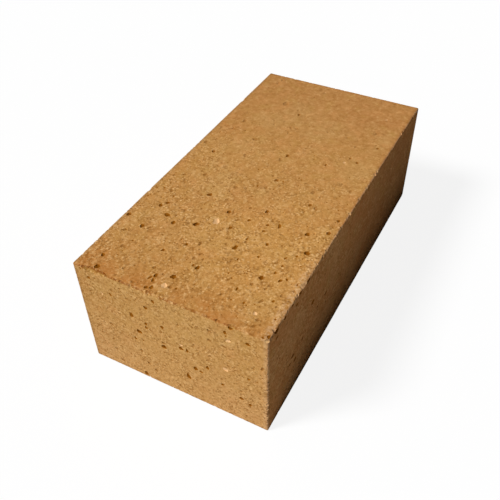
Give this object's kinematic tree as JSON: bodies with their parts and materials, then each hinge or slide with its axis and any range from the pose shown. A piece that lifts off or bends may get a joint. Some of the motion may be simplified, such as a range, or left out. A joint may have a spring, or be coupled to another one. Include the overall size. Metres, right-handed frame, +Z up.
{
  "type": "refractory firebrick",
  "caption": "Straight rectangular refractory brick of fired fireclay, with pitted ochre faces and small chips along its arrises.",
  "frame": {"origin": "middle of the lower bed face, on the level that the brick lies on", "axes": "+X along the length, +Y across the width, +Z up through the thickness"},
  "size_m": [0.23, 0.114, 0.076],
  "materials": {
    "fireclay": "fired, unglazed, matt and finely pitted"
  },
  "bodies": {
    "root": {"firebrick": "fireclay"}
  },
  "joints": []
}
